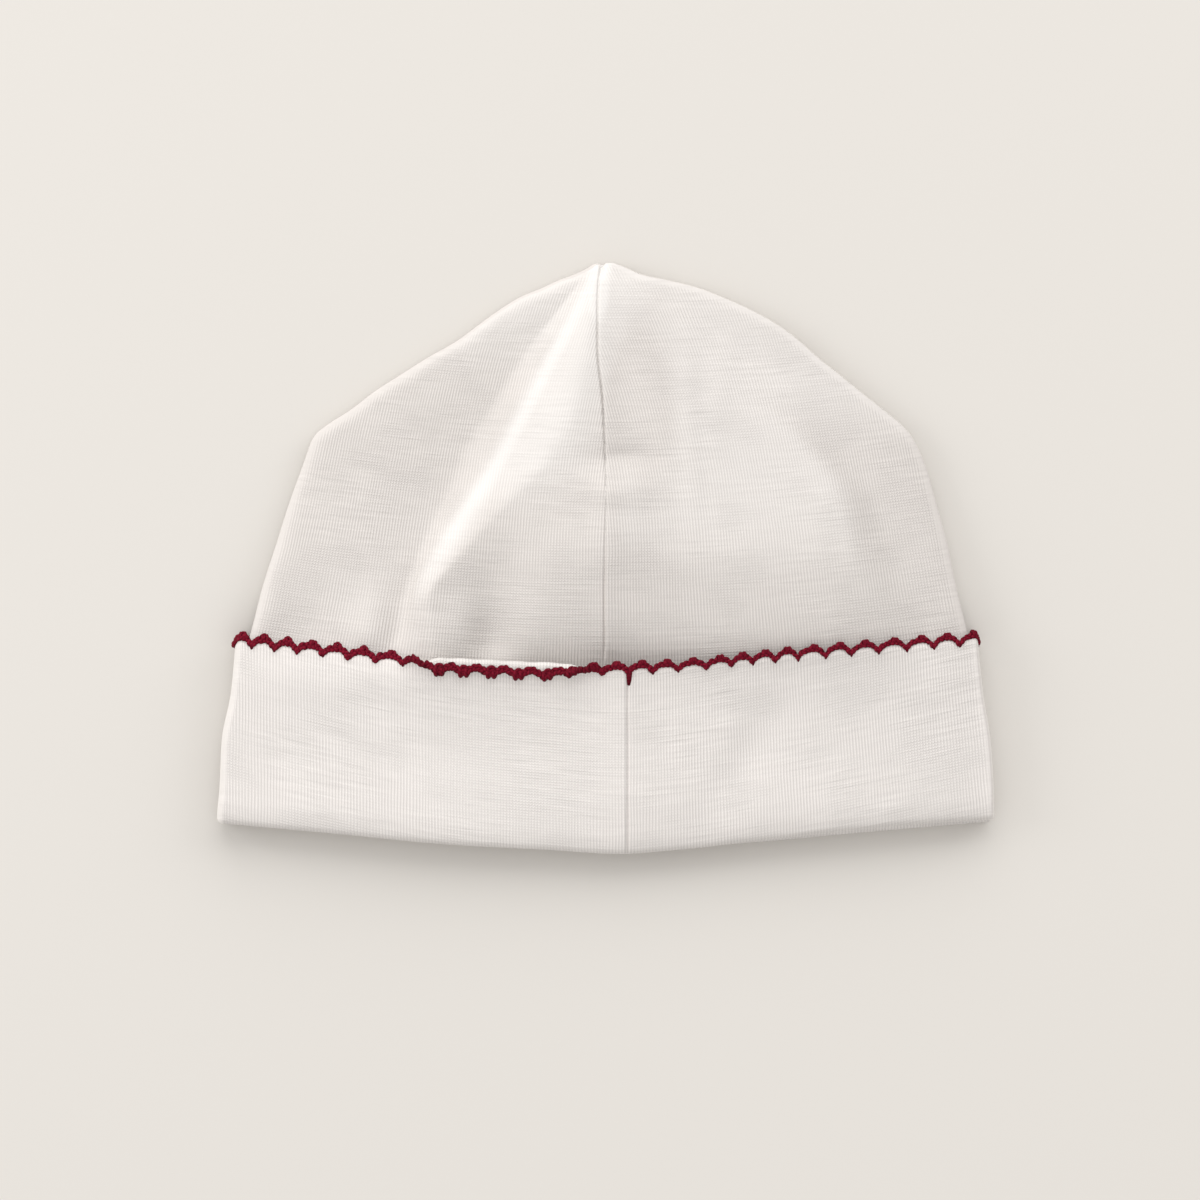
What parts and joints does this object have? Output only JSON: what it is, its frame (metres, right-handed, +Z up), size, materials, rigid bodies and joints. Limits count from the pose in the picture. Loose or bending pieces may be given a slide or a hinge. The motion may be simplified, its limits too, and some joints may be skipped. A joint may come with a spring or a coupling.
{
  "type": "beanie",
  "caption": "Infant's soft jersey beanie lying flat: petal-cut crown with a back seam, turned-up cuff and a scalloped crochet picot edging.",
  "frame": {"origin": "centre of the footprint, on the surface that the hat lies on", "axes": "+X across the hat from its left to its right edge, +Y from the mouth to the top of the crown, +Z up through the seam side"},
  "size_m": [0.1706, 0.1296, 0.0186],
  "materials": {
    "cotton_jersey": "matt white cotton jersey with fine slub",
    "crochet_cotton": "matt burgundy crochet cotton"
  },
  "bodies": {
    "root": {"crown": "cotton_jersey", "cuff": "cotton_jersey", "picot_edging": "crochet_cotton"}
  },
  "joints": []
}
